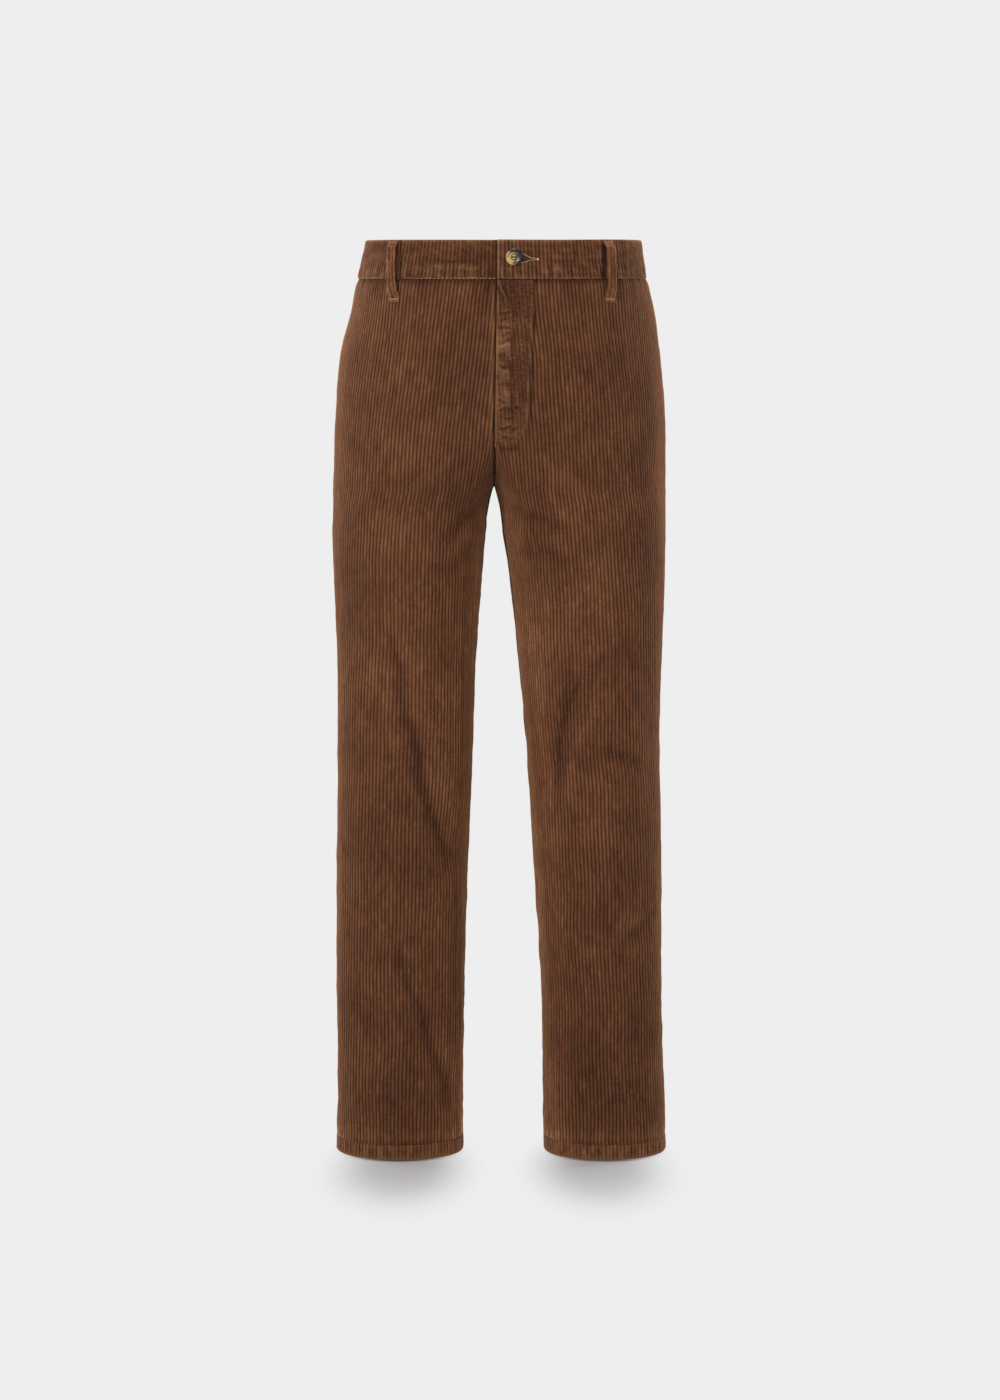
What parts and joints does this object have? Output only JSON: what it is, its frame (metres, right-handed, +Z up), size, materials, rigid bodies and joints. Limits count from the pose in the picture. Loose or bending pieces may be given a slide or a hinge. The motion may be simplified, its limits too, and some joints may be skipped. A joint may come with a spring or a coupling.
{
  "type": "corduroy trousers",
  "caption": "Straight-leg trousers in wide-wale brown corduroy, filled out as when worn, with belt loops, a buttoned waistband and a fly.",
  "frame": {"origin": "the middle of the waist opening, halfway up the waistband, where the trousers are held up", "axes": "+Z up, the front faces -Y, +X towards the wearer's left"},
  "size_m": [0.3912, 0.2601, 1.0695],
  "materials": {
    "corduroy": "wide-wale cotton corduroy with a short cut pile",
    "horn": "marbled, polished",
    "thread": "twisted sewing thread"
  },
  "bodies": {
    "root": {"front_right": "corduroy", "front_left": "corduroy", "back_right": "corduroy", "back_left": "corduroy", "fly": "corduroy", "hem_right": "corduroy", "hem_left": "corduroy", "waistband_right": "corduroy", "waistband_left": "corduroy", "loop_front_right": "corduroy", "loop_front_left": "corduroy", "loop_back_right": "corduroy", "loop_back_left": "corduroy", "loop_back_centre": "corduroy", "button": "horn", "button_thread": "thread"}
  },
  "joints": []
}
